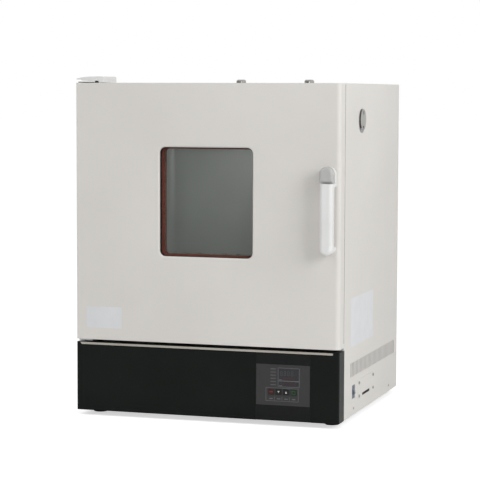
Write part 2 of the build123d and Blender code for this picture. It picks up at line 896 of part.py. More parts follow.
def make_cable_port():
    outer = port_bore / 2 + port_wall
    tube = disc(port_centre_y, port_z, outer) - disc(port_centre_y, port_z, port_bore / 2)
    sleeve = along_x(tube, (liner_x - port_wall, half))
    collar = disc(port_centre_y, port_z, outer + port_collar) - disc(port_centre_y, port_z, port_bore / 2)
    sleeve += along_x(collar, (liner_x - port_wall, liner_x))
    save("cable_port_sleeve", sleeve)
    pivot_z = port_z + port_pivot
    bore = disc(port_centre_y, port_z, port_bore / 2)
    ring = disc(port_centre_y, port_z, port_ring / 2) - bore - disc(port_centre_y, pivot_z, port_screw)
    save("cable_port_flange", along_x(ring, (half, half + port_ring_thick)))
    face = half + port_ring_thick
    seal = disc(port_centre_y, port_z, port_bore / 2 + port_seal) - bore
    seal -= disc(port_centre_y, pivot_z, port_screw + 1.0)
    save("cable_port_gasket", along_x(seal, (face, face + port_seal_thick)))
    disc_x = face + port_seal_thick + fit
    middle = port_z + port_disc_rise
    lid = disc(port_centre_y, middle, port_disc) - disc(port_centre_y, pivot_z, port_screw + pin_fit)
    notch = panel((port_centre_y - port_notch, port_centre_y + port_notch),
                  (middle - port_disc - 1.0, middle - port_bore / 2), 2.0)
    lid = along_x(lid - notch, (disc_x, disc_x + port_disc_thick))
    save("cable_port_cover", lid)
    head_x = disc_x + port_disc_thick + fit
    screw = along_x(disc(port_centre_y, pivot_z, port_screw), (half, head_x))
    screw += along_x(disc(port_centre_y, pivot_z, port_screw + port_head), (head_x, head_x + port_head))
    washer = disc(port_centre_y, pivot_z, port_screw + 1.0)
    screw += along_x(washer, (face, face + port_seal_thick))
    save("cable_port_screw", screw)


def ring_sector(inner, outer, start, sweep_angle):
    return make_face(Polyline(
        *[(outer * 1.4 * x, outer * 1.4 * y) for x, y in fan(start, sweep_angle)], (0, 0), close=True)
    ) & (Circle(outer) - Circle(inner))


def fan(start, sweep_angle):
    for i in range(4):
        turn = Vector(1, 0, 0).rotate(Axis.Z, start + sweep_angle * i / 3)
        yield turn.X, turn.Y


def make_exhausts():
    outer = exhaust_bore + exhaust_wall
    pipes = []
    flange_top = height + exhaust_flange_thick
    for name, x in zip(("exhaust_cap_left", "exhaust_cap_right"), exhaust_x):
        here = Pos(x, vent_y)
        pipe = along_z(here * Circle(outer), (liner_top, flange_top + exhaust_neck))
        pipe += along_z(here * Circle(exhaust_flange), (height, flange_top))
        pipe -= along_z(here * Circle(exhaust_bore), (liner_top, flange_top + exhaust_neck))
        cap = along_z(here * Circle(cap_radius), (flange_top + fit, flange_top + fit + cap_height))
        cap = fillet(cap.faces().sort_by(Axis.Z)[-1].edges(), cap_round)
        cap -= along_z(here * Circle(outer + fit), (flange_top, flange_top + exhaust_neck + fit))
        low = flange_top + fit + cap_skirt
        for turn in vent_turns:
            gap = here * ring_sector(0.5 * exhaust_bore, cap_radius + fit, turn, vent_angle)
            pipe -= along_z(gap, (low, low + vent_height))
            cap -= along_z(gap, (low, low + vent_height))
        pipes.append(pipe)
        save(name, cap)
    save("exhaust_pipes", *pipes)


# Hinges
def low_hinge_x():
    left = -half + cover_wall + fit
    return left, left + low_flange


def make_hinges():
    x = (-half + plate_inset, -half + plate_inset + top_plate_width)
    plate_z = (height + top_plate_clear, height + top_plate_clear + top_plate)
    front = face_y + plate_front_inset
    top = along_z(panel(x, (front, front_y + top_plate_rear), plate_inset), plate_z)
    top += block(x, (front_y + plate_inset, front_y + top_plate_rear - plate_inset), (height, plate_z[0]))
    top += along_z(disc(hinge_x, hinge_y, pin_radius), (height - pin_engage, plate_z[1]))
    rest = door_low - low_plate_clear
    low = block(low_hinge_x(), (front, front_y), (rest - low_plate, rest))
    low += block(low_hinge_x(), (front_y - low_plate, front_y), (cover_top - low_arm, rest))
    low += along_z(disc(hinge_x, hinge_y, pin_radius + fit), (rest, rest + low_plate_clear - fit))
    low += along_z(disc(hinge_x, hinge_y, pin_radius), (rest, door_low + pin_engage))
    save("hinge_brackets", top, low)


def make_hinge_cover():
    left, right = -half, -half + hinge_cap_width
    top = height + hinge_cap_rise
    under = height + top_plate_clear + top_plate + 2.3
    outline = make_face(Polyline(
        (left, height + 8.4), (left, height + 11.0), (left + 18.0, top - 1.8), (left + 37.0, top - 0.4),
        (right - 3.0, top), (right, top - 1.4), (right, height + 0.7), (right - 13.0, height + 0.7),
        (right - 13.0, under), (left + 16.0, under), (left + 11.5, height + 8.4), close=True))
    y = (face_y + 3.0, front_y + top_plate_rear + 4.0)
    cover = along_y(outline, y)
    rear = along_y(panel((left + 16.0, right), (height, under)), (y[1] - hinge_cap_wall, y[1]))
    side = block((right - hinge_cap_wall, right), (front_y + 2.0, y[1]), (height, height + 0.7))
    cover += rear + side
    hollow = block((left + 20.0, right - hinge_cap_wall), (y[0] + hinge_cap_wall, y[1] - hinge_cap_wall),
                   (height, top - 5.0))
    save("hinge_cover", cover - hollow)


# Door
def window_face(grow=0.0):
    corner = max(window_corner + grow, 1.0)
    return panel((-window_x - grow, window_x + grow), (window_low - grow, window_high + grow), corner)


def make_door_skin():
    y = (face_y, door_rear)
    skin = block((-half, half), y, (door_low, height))
    upright = skin.edges().filter_by(Axis.Z).group_by(Axis.Y)[0].sort_by(Axis.X)
    skin = fillet(upright[-1], handle_edge)
    skin = fillet(skin.edges().filter_by(Axis.Z).group_by(Axis.X)[0].sort_by(Axis.Y)[0], hinge_edge)
    inside = block((-inner_x, inner_x), (y[0] + sheet, y[1]), (door_low + sheet, height - sheet))
    edges = inside.edges().filter_by(Axis.Z).group_by(Axis.Y)[0].sort_by(Axis.X)
    inside = fillet(edges[-1], handle_edge - sheet)
    skin -= inside
    skin += along_y(window_face(roll_width), (y[0], y[0] + roll_width))
    skin -= along_y(window_face(), (y[0], y[0] + roll_width))
    rim = [e for e in skin.faces().sort_by(Axis.Y)[0].inner_wires()[0].edges()]
    skin = fillet(rim, window_roll)
    for z in ((door_low, door_low + sheet), (height - sheet, height)):
        skin -= along_z(disc(hinge_x, hinge_y, pin_radius + pin_fit), z)
    skin -= along_y(disc(handle_x, stem_z, stem_radius + fit), (y[0], y[0] + sheet))
    for x, z in handle_screw_places():
        skin -= along_y(disc(x, z, screw_radius), (y[0], y[0] + sheet))
    save("door_skin", skin)


def make_window():
    front = face_y + roll_width
    ring = along_y(window_face() - window_face(-frame_wall), (front, front + frame_depth))
    ring += along_y(window_face(frame_lip) - window_face(-frame_wall), (front, front + frame_wall))
    save("window_frame", ring)
    y0 = front + frame_depth
    seals, panes = [], []
    for start in (y0, door_rear - seal_thick):
        ring = along_y(window_face(channel - lip) - window_face(-lip), (start, start + seal_thick))
        pane_y = (start + (seal_thick - glass) / 2, start + (seal_thick + glass) / 2)
        pane = along_y(window_face(pane_bite - lip), pane_y)
        seals.append(ring - pane)
        panes.append(pane)
    save("window_gasket", *seals)
    save("window_panes", *panes)


def make_inner_panel():
    y = (door_rear - sheet, door_rear)
    outline = panel((-inner_x, inner_x), (door_low + sheet, height - sheet), 2.0)
    outline -= window_face(channel - lip)
    outline -= latch_hole()
    plate = along_y(outline, y)
    tunnel = window_face(channel - lip + tunnel_wall) - window_face(channel - lip)
    plate += along_y(tunnel, (face_y + roll_width + frame_wall, y[1]))
    save("door_inner_panel", plate)


def make_door_insulation():
    y = (face_y + sheet, door_rear - sheet)
    wool = block((hinge_x + 2 * pin_radius, handle_x - button_width / 2), y,
                 (door_low + sheet, height - sheet))
    wool -= along_y(window_face(channel - lip + tunnel_wall), y)
    wool -= along_y(window_face(frame_lip), (y[0], face_y + roll_width + frame_wall))
    save("door_insulation", wool)


def make_door_gasket():
    out_x = liner_x + gasket_margin
    z = (opening_low - gasket_margin, liner_top + gasket_margin)
    outer = panel((-out_x - gasket_width, out_x + gasket_width),
                  (z[0] - gasket_width, z[1] + gasket_width), gasket_corner + gasket_width)
    ring = along_y(outer - panel((-out_x, out_x), z, gasket_corner), (door_rear, seal_y - fit))
    rear = ring.faces().sort_by(Axis.Y)[-1]
    save("door_gasket", fillet(rear.edges(), gasket_round))


# Handle and latch
def handle_screw_places():
    low, side = handle_low + post_length / 2, handle_width / 4
    return [(handle_x - side, low), (handle_x + side, low),
            (handle_x - side, button_low + screw_head), (handle_x + side, button_low + screw_head)]


def handle_outline(wide, low, high):
    return panel((handle_x - wide / 2, handle_x + wide / 2), (low, high), wide / 2 - 0.01)


def make_handle():
    front = face_y - handle_reach
    grip_back = front + grip_thick
    rear_post = front + button_thick + button_travel + button_proud
    bar = along_y(handle_outline(handle_width, handle_low, handle_high), (front, face_y))
    bar = fillet(bar.faces().sort_by(Axis.Y)[0].edges(), grip_round)
    across = (handle_x - button_width, handle_x + button_width)
    bar -= block(across, (front, rear_post), (button_low, handle_high))
    bar -= along_x(panel((grip_back, face_y + 2 * grip_corner),
                         (handle_low + post_length, button_low - upper_post), grip_corner), across)
    bar -= along_y(disc(handle_x, stem_z, stem_radius + fit), (front, face_y))
    for x, z in handle_screw_places():
        bar -= along_y(disc(x, z, screw_radius), (face_y - handle_thread, face_y))
    save("handle_body", bar)
    screws = []
    for x, z in handle_screw_places():
        rear = face_y + sheet
        screws.append(along_y(disc(x, z, screw_radius), (face_y - handle_thread, rear))
                      + along_y(disc(x, z, screw_head), (rear, rear + screw_head_thick)))
    save("handle_screws", *screws)


def make_button():
    front = face_y - handle_reach - button_proud
    low = button_low + button_gap
    outline = handle_outline(button_width, low - button_width, handle_high + button_over)
    outline -= panel((handle_x - button_width, handle_x + button_width), (low - button_width, low))
    cap = along_y(outline, (front, front + button_thick))
    cap = fillet(cap.faces().sort_by(Axis.Y)[0].edges(), button_round)
    cap += along_y(disc(handle_x, stem_z, stem_radius), (front + button_thick, face_y + stem_end))
    save("handle_button", cap)


def make_latch():
    x = (handle_x - latch_width / 2, handle_x + latch_width / 2)
    arm_y = face_y + stem_end + stem_gap
    tip = latch_y + latch_reach
    arm = block(x, (arm_y, arm_y + 2 * latch_pin), (latch_z, stem_z + stem_radius))
    arm += block(x, (arm_y, tip), (latch_z - latch_bar / 2, latch_z + latch_bar / 2))
    high = latch_z + latch_bar / 2
    nose = make_face(Polyline((tip - latch_bar, latch_z), (tip - latch_bar, high + barb),
                              (tip, high), (tip, latch_z), close=True))
    arm += along_x(nose, x)
    arm -= along_x(disc(latch_y, latch_z, latch_pin + pin_fit), x)
    save("latch_hook", arm)
    cheek_x = (x[0] - cheek, x[1] + cheek)
    cheek_y = (latch_y - 2 * latch_pin, door_rear - sheet)
    cheek_z = (latch_z - latch_bar, latch_z + latch_bar)
    bracket = block(cheek_x, cheek_y, cheek_z) - block((x[0] - fit, x[1] + fit), cheek_y, cheek_z)
    bracket += along_x(disc(latch_y, latch_z, latch_pin), cheek_x)
    save("latch_bracket", bracket)
    keeper = latch_hole(keeper_margin) - latch_hole()
    save("latch_keeper", along_y(keeper, (frame_y, frame_y + keeper_thick)))


def latch_hole(grow=0.0):
    """The opening that the hook passes through."""
    side = latch_width / 2 + 2 * barb_clear + grow
    return panel((handle_x - side, handle_x + side),
                 (latch_z - latch_bar - barb - grow, latch_z + latch_bar / 2 + barb + barb_clear + grow))


# Lower compartment and rear
def base_box(x, y, low, high):
    """A box on the base pan, its middle at x and y[0] and its sides half as wide as x[1] and y[1]."""
    floor = base + sheet
    return block((x[0] - x[1] / 2, x[0] + x[1] / 2), (y[0] - y[1] / 2, y[0] + y[1] / 2),
                 (floor + low, floor + high))


def from_rear(place, side=-1):
    return side * (inner_x - place[0]), rear_y - place[1]


def make_transformer():
    x, y = from_rear(transformer_place)
    long, wide, tall = transformer_core
    core = base_box((x, long), (y, wide), 0, tall)
    core = fillet(core.edges().filter_by(Axis.Y).group_by(Axis.Z)[-1], bend)
    core += base_box((x, long + 2 * transformer_foot), (y, wide + 2 * transformer_foot), 0, low_plate)
    core += base_box((x, 0.7 * long), (y, wide + 2 * transformer_coil), 0.2 * tall, 0.8 * tall)
    save("transformer", core)


def make_relay():
    x, y = from_rear(relay_place)
    wide, long, tall = relay_sink
    relay = base_box((x, wide), (y, long), 0, relay_foot)
    for i in range(relay_fins):
        fin_x = x + (i / (relay_fins - 1) - 0.5) * (wide - relay_fin)
        relay += base_box((fin_x, relay_fin), (y, long), 0, tall)
    relay -= base_box((x, 0.55 * wide), (y, 0.6 * long), relay_foot, tall)
    relay += base_box((x, 0.5 * wide), (y, 0.56 * long), relay_foot, relay_top)
    save("solid_state_relay", relay)


def make_terminals():
    x, y = from_rear(terminal_place)
    wide, deep, tall = terminal_size
    strip = base_box((x, wide), (y, deep), 0, tall)
    top = base + sheet + tall
    for i in range(terminal_count):
        pole = x + (i - (terminal_count - 1) / 2) * terminal_pitch
        strip -= base_box((pole, 0.75 * terminal_pitch), (y - deep / 2, 0.8 * deep), tall / 2, tall)
        strip -= along_z(disc(pole, y + 0.2 * deep, screw_radius), (top - tall / 4, top))
    save("terminal_block", strip)


def make_control_board():
    x, y = from_rear(board_place, 1)
    wide, long = board_size
    top = board_rise + board_thick
    board = base_box((x, wide), (y, long), board_rise, top)
    floor = base + sheet
    for sx in (-1, 1):
        for sy in (-1, 1):
            stand = disc(x + sx * (wide / 2 - stand_inset), y + sy * (long / 2 - stand_inset), stand_radius)
            board += along_z(stand, (floor, floor + board_rise))
    for off_x, off_y, size_x, size_y, tall in board_parts:
        board += base_box((x + off_x, size_x), (y + off_y, size_y), top, top + tall)
    for i in range(can_count):
        can = disc(x + can_offset[0] + i * can_pitch, y + can_offset[1], can_radius)
        board += along_z(can, (floor + top, floor + top + can_height))
    save("control_board", board)


def make_gland():
    def rod_to(shape, y):
        plane = Plane(origin=(gland_x, y[0], gland_z), z_dir=(0, 1, 0))
        return extrude(plane * shape, y[1] - y[0])

    inside = rear_y - sheet - gland_nut
    gland = rod_to(RegularPolygon(gland_radius, 6), (rear_y, rear_y + gland_nut))
    dome = rod_to(Circle(gland_dome), (rear_y, rear_y + gland_reach))
    gland += fillet(dome.faces().sort_by(Axis.Y)[-1].edges(), 3.0)
    gland += rod_to(Circle(gland_shank), (inside - gland_nut, rear_y))
    gland += rod_to(RegularPolygon(gland_radius, 6), (inside, rear_y - sheet))
    gland -= rod_to(Circle(gland_bore), (inside - gland_nut, rear_y + gland_reach))
    save("cord_gland", gland)


make_base_pan()
make_feet()
make_side_panels()
make_top_panel()
make_rear_panel()
make_front_frame()
make_deck()
make_liner()
make_insulation()
make_floor_plate()
make_heaters()
make_probes()
make_posts()
make_shelves()
make_front_cover()
make_control_insert()
make_operation_sheet()
make_keys()
make_display_board()
make_trim_strip()
make_breaker()
make_service_plate()
make_panel_screws()
make_cable_port()
make_exhausts()
make_hinges()
make_hinge_cover()
make_door_skin()
make_window()
make_inner_panel()
make_door_insulation()
make_door_gasket()
make_handle()
make_button()
make_latch()
make_transformer()
make_relay()
make_terminals()
make_control_board()
make_gland()
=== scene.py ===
import math

import bmesh
import bpy
from mathutils import Matrix, Vector


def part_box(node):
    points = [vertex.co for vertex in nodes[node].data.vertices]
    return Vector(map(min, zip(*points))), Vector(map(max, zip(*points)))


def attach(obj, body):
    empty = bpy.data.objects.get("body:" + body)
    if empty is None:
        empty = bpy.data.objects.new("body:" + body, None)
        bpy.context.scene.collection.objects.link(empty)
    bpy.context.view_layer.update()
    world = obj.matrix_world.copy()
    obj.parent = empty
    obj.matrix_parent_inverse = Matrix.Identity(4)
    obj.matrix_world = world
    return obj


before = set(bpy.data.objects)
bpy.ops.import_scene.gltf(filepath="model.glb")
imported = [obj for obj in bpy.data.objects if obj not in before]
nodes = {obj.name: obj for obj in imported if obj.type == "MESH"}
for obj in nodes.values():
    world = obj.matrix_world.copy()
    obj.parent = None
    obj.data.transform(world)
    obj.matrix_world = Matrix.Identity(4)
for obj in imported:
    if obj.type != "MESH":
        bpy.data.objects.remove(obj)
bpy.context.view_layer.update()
mm = 0.001
print("frame loaded,", len(nodes), "nodes")


# Helpers

def hexToLinear(code):
    values = [int(code[i:i + 2], 16) / 255 for i in (1, 3, 5)]
    return [v / 12.92 if v <= 0.04045 else ((v + 0.055) / 1.055) ** 2.4 for v in values] + [1.0]


def addNode(tree, kind, inputs=None, **settings):
    node = tree.nodes.new(kind)
    for key, value in settings.items():
        setattr(node, key, value)
    for key, value in (inputs or {}).items():
        if isinstance(value, bpy.types.NodeSocket):
            tree.links.new(value, node.inputs[key])
        else:
            node.inputs[key].default_value = value
    return node


# Materials. Sizes in a look are millimetres: patch is the spread of the slow colour change,
# grain and relief are the fine texture's spacing and depth. Stops and span are the noise values at
# which the colour and the roughness reach their ends.

texture = {"slowDetail": 3.0, "fineDetail": 2.0, "stops": (0.35, 0.65), "span": (0.3, 0.7)}


def makeFinish(name, look):
    material = bpy.data.materials.new(name)
    material.use_nodes = True
    tree = material.node_tree
    tree.nodes.clear()
    shader = addNode(tree, "ShaderNodeBsdfPrincipled")
    addNode(tree, "ShaderNodeOutputMaterial", {"Surface": shader.outputs["BSDF"]})
    place = addNode(tree, "ShaderNodeTexCoord").outputs["Object"]
    slow = addNode(tree, "ShaderNodeTexNoise", {"Vector": place, "Scale": 1000 / look["patch"],
                                                "Detail": texture["slowDetail"]})
    ramp = addNode(tree, "ShaderNodeValToRGB", {"Fac": slow.outputs["Fac"]})
    for stop, key, position in zip(ramp.color_ramp.elements, ("dark", "light"), texture["stops"]):
        stop.color, stop.position = hexToLinear(look[key]), position
    tree.links.new(ramp.outputs["Color"], shader.inputs["Base Color"])
    turned = addNode(tree, "ShaderNodeMapping", {"Vector": place, "Scale": look.get("stretch", (1, 1, 1))})
    fine = addNode(tree, "ShaderNodeTexNoise", {"Vector": turned.outputs["Vector"],
                                                "Scale": 1000 / look["grain"],
                                                "Detail": texture["fineDetail"]})
    rough = addNode(tree, "ShaderNodeMapRange", {
        "Value": fine.outputs["Fac"], "From Min": texture["span"][0], "From Max": texture["span"][1],
        "To Min": look["rough"][0], "To Max": look["rough"][1]})
    tree.links.new(rough.outputs["Result"], shader.inputs["Roughness"])
    bump = addNode(tree, "ShaderNodeBump", {"Height": fine.outputs["Fac"], "Strength": 1.0,
                                            "Distance": look["relief"] * mm})
    tree.links.new(bump.outputs["Normal"], shader.inputs["Normal"])
    for socket, value in look.get("sockets", {}).items():
        shader.inputs[socket].default_value = value
    return material


metal = {"Metallic": 1.0}
looks = {
    # Powder coat on steel: warm off-white, satin, with fine orange peel.
    "powderCoat": {"dark": "#dad7d2", "light": "#dedbd6", "patch": 260, "grain": 2.4, "relief": 0.02,
                   "rough": (0.36, 0.44)},
    # Injection-moulded ABS, near black with a green cast, light spark texture.
    "blackAbs": {"dark": "#0d120f", "light": "#101512", "patch": 90, "grain": 0.9, "relief": 0.015,
                 "rough": (0.34, 0.44), "sockets": {"IOR": 1.45, "Specular IOR Level": 0.24}},
    # The same ABS, polished for the control insert.
    "blackInsert": {"dark": "#0c100e", "light": "#0e1210", "patch": 60, "grain": 1.2, "relief": 0.006,
                    "rough": (0.24, 0.30), "sockets": {"IOR": 1.45, "Specular IOR Level": 0.3}},
    # White moulded ABS with a slight gloss.
    "whiteAbs": {"dark": "#e2e2e1", "light": "#e6e6e5", "patch": 70, "grain": 1.4, "relief": 0.01,
                 "rough": (0.24, 0.32), "sockets": {"IOR": 1.53}},
    # Grey polished ABS.
    "greyAbs": {"dark": "#b4b4b2", "light": "#b9b9b7", "patch": 50, "grain": 1.2, "relief": 0.005,
                "rough": (0.20, 0.27), "sockets": {"IOR": 1.53}},
    # Grey nylon of the port cover and caps, a little duller.
    "greyNylon": {"dark": "#a09f9b", "light": "#a7a6a2", "patch": 40, "grain": 1.0, "relief": 0.01,
                  "rough": (0.34, 0.44)},
    # Polyester membrane, printed dark grey on its back: smooth with a faint fine texture.
    "membraneFilm": {"dark": "#2a2a2b", "light": "#2d2d2e", "patch": 60, "grain": 0.7, "relief": 0.006,
                     "rough": (0.32, 0.40), "sockets": {"IOR": 1.60}},
    # Polished smoked acrylic of the display window, and the darker moulded key caps.
    "smokedAcrylic": {"dark": "#242528", "light": "#26272a", "patch": 40, "grain": 3.0, "relief": 0.001,
                      "rough": (0.10, 0.14), "sockets": {"IOR": 1.49}},
    "redAcrylic": {"dark": "#2c100e", "light": "#341311", "patch": 8, "grain": 1.0, "relief": 0.004,
                   "rough": (0.30, 0.38)},
    "greenAcrylic": {"dark": "#0f2011", "light": "#122615", "patch": 8, "grain": 1.0, "relief": 0.004,
                     "rough": (0.30, 0.38)},
    "blackKey": {"dark": "#0b0c0d", "light": "#0e0f10", "patch": 8, "grain": 1.0, "relief": 0.004,
                 "rough": (0.30, 0.38)},
    # Austenitic stainless, brushed: fine lines along X.
    "brushedStainless": {"dark": "#a4a6a2", "light": "#aeb0ac", "patch": 140, "grain": 1.2, "relief": 0.01,
                         "stretch": (0.04, 1, 1), "rough": (0.30, 0.42), "sockets": metal},
    # Stainless liner with a pickled, duller skin.
    "pickledStainless": {"dark": "#dde1de", "light": "#e4e8e5", "patch": 120, "grain": 1.6, "relief": 0.01,
                         "stretch": (1, 1, 0.05), "rough": (0.42, 0.52), "sockets": {"Metallic": 0.5}},
    # Zinc plating over steel, bright and slightly blue.
    "zincPlate": {"dark": "#b3b5b8", "light": "#c0c2c4", "patch": 12, "grain": 0.8, "relief": 0.004,
                  "rough": (0.22, 0.32), "sockets": metal},
    # Hot-dip galvanised sheet with its spangle.
    "galvanisedSheet": {"dark": "#8d9194", "light": "#a5a9ac", "patch": 14, "grain": 6, "relief": 0.01,
                        "rough": (0.38, 0.55), "sockets": {"Metallic": 0.9}},
    # Anodised aluminium strip, brushed along its length.
    "anodisedAluminium": {"dark": "#cfcabf", "light": "#d8d4ca", "patch": 120, "grain": 0.8,
                          "relief": 0.004, "stretch": (0.03, 1, 1), "rough": (0.26, 0.36),
                          "sockets": metal},
    # Needled glass wool.
    "glassWool": {"dark": "#b3a56b", "light": "#d6cb98", "patch": 18, "grain": 1.5, "relief": 0.4,
                  "stretch": (1, 1, 0.3), "rough": (0.9, 1.0)},
    # Black enamelled steel of the window frame.
    "blackEnamel": {"dark": "#14161c", "light": "#181a20", "patch": 50, "grain": 1.5, "relief": 0.006,
                    "rough": (0.22, 0.30)},
    # Iron-red silicone rubber, matt with a faint bloom.
    "redSilicone": {"dark": "#6b3426", "light": "#7a3d2d", "patch": 30, "grain": 0.8, "relief": 0.02,
                    "rough": (0.55, 0.68), "sockets": {"IOR": 1.43}},
    "greySilicone": {"dark": "#4c4c4c", "light": "#565656", "patch": 30, "grain": 0.8, "relief": 0.02,
                     "rough": (0.55, 0.68), "sockets": {"IOR": 1.43}},
    # Carbon-filled natural rubber.
    "blackRubber": {"dark": "#131313", "light": "#1b1b1b", "patch": 20, "grain": 0.9, "relief": 0.03,
                    "rough": (0.7, 0.85)},
    # Glass-epoxy circuit board under green solder mask.
    "solderMask": {"dark": "#12401f", "light": "#175028", "patch": 15, "grain": 2.0, "relief": 0.01,
                   "rough": (0.30, 0.45)},
    # Phenolic breaker case, blue-grey.
    "phenolicCase": {"dark": "#5d6874", "light": "#67727e", "patch": 20, "grain": 0.8, "relief": 0.01,
                     "rough": (0.34, 0.44)},
    # Nickel-alloy heater sheath with its oxide skin.
    "oxidisedSheath": {"dark": "#4a443d", "light": "#6b645a", "patch": 25, "grain": 1.0, "relief": 0.02,
                       "rough": (0.45, 0.6), "sockets": {"Metallic": 0.8}},
    # Soda-lime glass with a faint green in its thickness.
    "sodaLimeGlass": {"dark": "#868b84", "light": "#8a8f88", "patch": 200, "grain": 30, "relief": 0.0005,
                      "rough": (0.02, 0.04), "sockets": {"Alpha": 0.06, "IOR": 1.52}},
    # Screen-printed ink on the membrane and the keys.
    "greyInk": {"dark": "#5e5f62", "light": "#66676a", "patch": 20, "grain": 0.6, "relief": 0.001,
                "rough": (0.45, 0.55)},
    "whiteInk": {"dark": "#c9c9c8", "light": "#d2d2d1", "patch": 20, "grain": 0.6, "relief": 0.001,
                 "rough": (0.45, 0.55)},
    "redInk": {"dark": "#7c2419", "light": "#88291d", "patch": 20, "grain": 0.6, "relief": 0.001,
               "rough": (0.45, 0.55)},
    "greenInk": {"dark": "#2c5a2e", "light": "#336635", "patch": 20, "grain": 0.6, "relief": 0.001,
                 "rough": (0.35, 0.45)},
    # Unlit display segments, a little lighter than the smoked window.
    "ghostInk": {"dark": "#3d3f42", "light": "#434548", "patch": 20, "grain": 0.6, "relief": 0.001,
                 "rough": (0.30, 0.38)},
    "redGhostInk": {"dark": "#33272a", "light": "#382a2d", "patch": 20, "grain": 0.6, "relief": 0.001,
                    "rough": (0.30, 0.38)},
    # Painted shade: a soft, dull grey strip that darkens the gap behind the door.
    "paintedGapShade": {"dark": "#6e6a66", "light": "#77736f", "patch": 25, "grain": 0.9, "relief": 0.05,
                 "rough": (0.75, 0.9)},
    # The shaded inside of a cross recess in a plated screw.
    "recessShade": {"dark": "#4a443e", "light": "#574f47", "patch": 5, "grain": 0.5, "relief": 0.01,
                    "rough": (0.5, 0.65)},
    # Coated paper label, blank.
    "labelStock": {"dark": "#dadcde", "light": "#dee0e2", "patch": 40, "grain": 0.5, "relief": 0.004,
                   "rough": (0.40, 0.50)},
}
finishes = {name: makeFinish(name, look) for name, look in looks.items()}

nodeFinishes = {
    "powderCoat": ("left_side_panel", "right_side_panel", "top_panel", "rear_panel", "door_skin",
                   "service_plate"),
    "blackAbs": ("front_cover", "communication_connector", "terminal_block", "solid_state_relay",
                 "cord_gland"),
    "blackInsert": ("control_insert",),
    "whiteAbs": ("handle_body", "hinge_cover"),
    "greyAbs": ("handle_button",),
    "greyNylon": ("cable_port_cover", "exhaust_cap_left", "exhaust_cap_right"),
    "membraneFilm": ("operation_sheet",),
    "smokedAcrylic": ("display_window",),
    "redAcrylic": ("key_red",),
    "greenAcrylic": ("key_green",),
    "blackKey": ("key_down", "key_up"),
    "brushedStainless": ("front_frame", "door_inner_panel", "chamber_floor_plate", "shelf_posts",
                         "shelf_brackets", "wire_shelves", "sensor_probes", "cable_port_sleeve",
                         "exhaust_pipes"),
    "pickledStainless": ("chamber_liner",),
    "zincPlate": ("foot_bolts", "cable_port_flange", "panel_screws", "cable_port_screw",
                  "hinge_brackets", "latch_keeper", "handle_screws", "latch_bracket", "latch_hook"),
    "galvanisedSheet": ("base_pan", "compartment_deck", "transformer"),
    "anodisedAluminium": ("trim_strip",),
    "glassWool": ("chamber_insulation", "door_insulation"),
    "blackEnamel": ("window_frame",),
    "redSilicone": ("window_gasket", "cable_port_gasket"),
    "greySilicone": ("door_gasket",),
    "blackRubber": ("feet",),
    "solderMask": ("control_board", "display_board"),
    "phenolicCase": ("breaker_body", "breaker_lever"),
    "oxidisedSheath": ("heater_elements",),
    "sodaLimeGlass": ("window_panes",),
}
for finish, names in nodeFinishes.items():
    for name in names:
        nodes[name].data.materials.clear()
        nodes[name].data.materials.append(finishes[finish])
print("finishes given to", sum(len(n) for n in nodeFinishes.values()), "nodes")


# Thin pieces of plates, frames and outlines, with their limits in millimetres

def addPlate(bm, x, y, z):
    corners = [bm.verts.new((a * mm, b * mm, c * mm)) for a in x for b in y for c in z]
    for ring in ((0, 1, 3, 2), (4, 6, 7, 5), (0, 4, 5, 1), (2, 3, 7, 6), (0, 2, 6, 4), (1, 5, 7, 3)):
        bm.faces.new([corners[i] for i in ring])


def addFrame(bm, x, y, z, line):
    addPlate(bm, x, y, (z[0], z[0] + line))
    addPlate(bm, x, y, (z[1] - line, z[1]))
    addPlate(bm, (x[0], x[0] + line), y, (z[0] + line, z[1] - line))
    addPlate(bm, (x[1] - line, x[1]), y, (z[0] + line, z[1] - line))


def addOutline(bm, points, y):
    front = [bm.verts.new((x * mm, y[0] * mm, z * mm)) for x, z in points]
    back = [bm.verts.new((x * mm, y[1] * mm, z * mm)) for x, z in points]
    bm.faces.new(front)
    bm.faces.new(back[::-1])
    for i in range(len(points)):
        j = (i + 1) % len(points)
        bm.faces.new((front[i], front[j], back[j], back[i]))


def finishPiece(name, bm, body, finish):
    bmesh.ops.recalc_face_normals(bm, faces=bm.faces)
    mesh = bpy.data.meshes.new(name)
    bm.to_mesh(mesh)
    bm.free()
    piece = bpy.data.objects.new(name, mesh)
    bpy.context.scene.collection.objects.link(piece)
    mesh.materials.append(finishes[finish])
    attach(piece, body)


# Frames, indicator rows and marks on the control film
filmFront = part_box("operation_sheet")[0].y / mm
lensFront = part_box("display_window")[0].y / mm
panelPrint = {"line": 1.1, "thick": 0.06, "upperFrame": ((195.0, 252.0), (117.0, 150.5)),
              "lowerFrame": ((195.0, 252.0), (101.5, 117.0)), "keyFrame": ((163.0, 249.5), (64.5, 99.0)),
              "rowsX": (175.5, 189.5), "rowsZ": (106.5, 147.0), "rowCount": 6, "rowHalf": 1.0,
              "upperMark": ((197.5, 206.0), (119.5, 121.0)), "lowerMark": ((197.5, 206.0), (104.0, 105.5))}
ink = bmesh.new()
inkY = (filmFront - panelPrint["thick"], filmFront)
for key in ("upperFrame", "lowerFrame", "keyFrame"):
    addFrame(ink, panelPrint[key][0], inkY, panelPrint[key][1], panelPrint["line"])
rise = panelPrint["rowsZ"][1] - panelPrint["rowsZ"][0]
for i in range(panelPrint["rowCount"]):
    z = panelPrint["rowsZ"][0] + i * rise / (panelPrint["rowCount"] - 1)
    addPlate(ink, panelPrint["rowsX"], inkY, (z - panelPrint["rowHalf"], z + panelPrint["rowHalf"]))
for key in ("upperMark", "lowerMark"):
    addPlate(ink, panelPrint[key][0], inkY, panelPrint[key][1])
finishPiece("control_print", ink, "cabinet", "greyInk")

